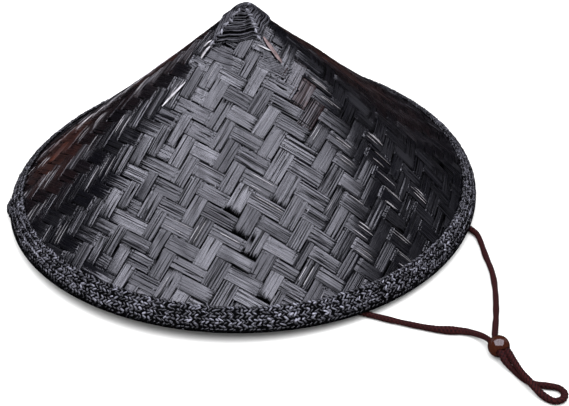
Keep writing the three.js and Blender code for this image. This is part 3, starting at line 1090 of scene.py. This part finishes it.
def add_cap_strand(pile, random, azimuth, strand, size):
    """A flattened strand round the cap that waves up and down and in and out."""

    def wave(height, count):
        return height * np.sin(np.radians(azimuth * count) + random.uniform(0, 6))

    share = (strand + 0.6 + size["offset"]) / CAP_STRANDS + wave(0.012, random.integers(2, 6))
    width = size["width"] * (1 + wave(0.2, 7))
    out = size["out"] + wave(0.2, 5)
    place, _, down, normal = surface_frames(cap_surface, azimuth, share, 0.5, 0.004)
    turn = even_turns(8) + 0.2
    rings = rings_round(place + normal * out[:, None], down, normal, width / 2, size["height"] / 2, turn)
    # Each strand has its own place in the material
    start = strand * 9
    marks = marks_at(np.cos(turn)[None] * 1.5 + start, line_lengths(place)[:, None] + start)
    # The strand's share of the lighter colour is a painted highlight.
    pile.add_one(rings, marks, [0, random.uniform(0.0, 0.25)], is_ring=True)


def add_stitches(pile, random, corner):
    """Crossed stitches from the tip to a corner of the cap."""
    count = len(CAP_STITCHES)
    middles = corner + random.normal(0, 1.5, count)
    frames = surface_frames(cap_surface, middles, CAP_STITCHES, 2.0, 0.01)
    # The stitches' lighter colour is a painted highlight, weaker on the second, crossing stitch.
    tones = np.stack([np.zeros(count), random.uniform(0.35, 1, count)], 1)
    leans = random.normal(0, 8, (2, count))
    add_leaves(pile, frames, 52 + leans[0], 5.8, 1.6, 1.5, 2.0, tones, dip=0.8)
    add_leaves(pile, frames, -38 + leans[1], 5.0, 1.2, 1.2, 1.7, tones * 0.6, dip=0.8)


def make_cap(core_material, material):
    random = np.random.default_rng(SEED + 2)
    azimuth = np.arange(0, 360, SHEET_STEP)
    core = Pile()
    slants = [share * cap_reach(azimuth) for share in CAP_CORE_SHARES]
    rings = sheet_rings(azimuth, slants, *CAP_CORE_RISES)
    core.add_one(rings, np.zeros((1, 1, 2)), [0, 0.1], is_ring=True)
    strands = Pile()
    for strand in range(CAP_STRANDS):
        for size in CAP_STRAND_SIZES:
            if size["chance"] == 1 or random.random() >= 1 - size["chance"]:
                add_cap_strand(strands, random, azimuth, strand, size)
    stitches = Pile()
    for corner in CAP_CORNERS:
        add_stitches(stitches, random, corner)
    pieces = [
        core.build("cap_core", [core_material], "wound_strand", 60),
        strands.build("cap_strands", [material], "wound_strand", 60),
        stitches.build("cap_stitches", [material], "wound_strand", 60),
    ]
    for piece in pieces:
        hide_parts("apex_cap")


# Slivers that have split off their strips: the azimuth and slant of both ends, the width, the rise over the
# weave and whether it is brown
LOOSE_SLIVERS = [
    ((-51, 0.160), (-54, 0.190), 1.3, 1.4, False),
    ((-47.8, 0.179), (-47.9, 0.224), 2.2, 1.2, False),
    ((-46.9, 0.311), (-50.3, 0.407), 2.0, 1.0, False),
    ((17.1, 0.147), (30.7, 0.180), 1.3, 0.9, False),
    ((29.7, 0.131), (35.8, 0.227), 3.0, 0.9, True),
]
SLIVER_HALF_THICKNESS = 0.22


def make_slivers(materials):
    random = np.random.default_rng(SEED + 3)
    pile = Pile()
    share = np.linspace(0, 1, 9)
    turn = even_turns(6)
    for first, last, full_width, most_rise, is_brown in LOOSE_SLIVERS:
        azimuth = first[0] + (last[0] - first[0]) * share
        slant = first[1] + (last[1] - first[1]) * share
        middle = hat_point(azimuth, slant, most_rise * (0.45 + 0.55 * np.sin(np.pi * share)))
        normal = unit(hat_point(azimuth, slant, 1.0) - hat_point(azimuth, slant, 0.0))
        side = np.cross(unit(np.gradient(middle, axis=0)), normal)
        half_width = full_width / 2 * np.minimum(1, 0.35 + 3 * np.minimum(share, 1 - share))
        rings = rings_round(middle, side, normal, half_width, SLIVER_HALF_THICKNESS, turn)
        length = share * np.linalg.norm(middle[-1] - middle[0])
        marks = marks_at(np.cos(turn)[None] * half_width[:, None], length[:, None]) + random.uniform(0, 100)
        # Slivers that are not brown take the fibres' light colour, a painted glint; brown ones are worn
        # brown.
        pile.add_one(rings, marks, [0, 0.9], look=int(is_brown))
    piece = pile.build("weave_slivers", materials, "bamboo_weave")
    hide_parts("cone_body")


# Floor and light, all in metres

LIGHT_TINT = (0.955, 0.95, 1.1)
# Soft strip lights over the hat: where each lies from left to right, and its radiance
STRIP_LIGHTS = {"height": 1.55, "y": -0.55, "width": 0.24, "depth": 2.4}
STRIP_LIGHT_ROWS = [
    (-1.4, 5.5), (-1.02, 5.2), (-0.62, 5.0), (-0.22, 5.2), (0.18, 5.2), (0.58, 5.0), (0.98, 5.0), (1.38, 5.0),
]
SIDE_PANEL = {"place": (2.6, 1.5, 0.9), "aim": (0, 0, 0.1), "width": 1.8, "depth": 1.2, "radiance": 0.2}
ROOM_LIGHT = (0.76, 0.76, 0.88, 1)
ROOM_WALLS = (0.008, 0.008, 0.009, 1)
FLOOR_HALF = 8.0
FLOOR_LEVEL = -0.0004


def add_area_light(name, place, aim, width, depth, radiance):
    data = bpy.data.lights.new(name, "AREA")
    data.shape = "RECTANGLE"
    data.size = width
    data.size_y = depth
    data.energy = radiance * math.pi * width * depth
    data.color = LIGHT_TINT
    light = bpy.data.objects.new(name, data)
    light.location = place
    light.rotation_euler = (Vector(aim) - Vector(place)).to_track_quat("-Z", "Y").to_euler()
    bpy.context.scene.collection.objects.link(light)


def make_floor():
    mesh = bpy.data.meshes.new("floor")
    signs = [(-1, -1), (1, -1), (1, 1), (-1, 1)]
    mesh.from_pydata([(x * FLOOR_HALF, y * FLOOR_HALF, FLOOR_LEVEL) for x, y in signs], [], [(0, 1, 2, 3)])
    mesh.materials.append(floor_material())
    floor = bpy.data.objects.new("floor", mesh)
    bpy.context.scene.collection.objects.link(floor)
    floor.visible_glossy = False


def make_lights():
    y = STRIP_LIGHTS["y"]
    width = STRIP_LIGHTS["width"]
    depth = STRIP_LIGHTS["depth"]
    for number, (x, radiance) in enumerate(STRIP_LIGHT_ROWS, 1):
        place = (x, y, STRIP_LIGHTS["height"])
        add_area_light(f"overhead_{number}", place, (x, y, 0), width, depth, radiance)
    add_area_light("side_panel", **SIDE_PANEL)


def make_room():
    """The room fills the shadows on the floor, and only its dark walls are seen in glossy surfaces."""
    world = bpy.data.worlds.new("studio")
    bpy.context.scene.world = world
    world.use_nodes = True
    tree = world.node_tree
    rays = tree.nodes.new("ShaderNodeLightPath")
    seen = tree.nodes.new("ShaderNodeMix")
    seen.data_type = "RGBA"
    seen.inputs[6].default_value = ROOM_LIGHT
    seen.inputs[7].default_value = ROOM_WALLS
    tree.links.new(rays.outputs["Is Glossy Ray"], seen.inputs[0])
    tree.links.new(seen.outputs[2], tree.nodes["Background"].inputs[0])


def main():
    bpy.context.scene.view_settings.view_transform = "Standard"
    make_camera()
    cord_look = cord_material()
    cord, line, length = make_cord(cord_look)
    knots = [
        make_knot("knot_right", "cord_knot_right", cord_look),
        make_knot("knot_left", "cord_knot_left", cord_look),
    ]
    bead = make_bead(bead_material())
    bamboo = [bamboo_material(f"bamboo_weave_{number}", shine) for number, shine in enumerate(LOOK_SHINES, 1)]
    core = strand_material("binding_core")
    braid = strand_material("rim_braid")
    wound = strand_material("wound_strand")
    glint_fibres = strand_material("fibre_painted_glint")
    wear_and_highlight = strand_material("worn_sliver")
    make_weave(bamboo, glint_fibres)
    make_weave_core([bamboo[0], core])
    make_slivers([glint_fibres, wear_and_highlight])
    make_rim(core, braid)
    make_cap(core, wound)
    make_floor()
    make_lights()
    make_room()


main()
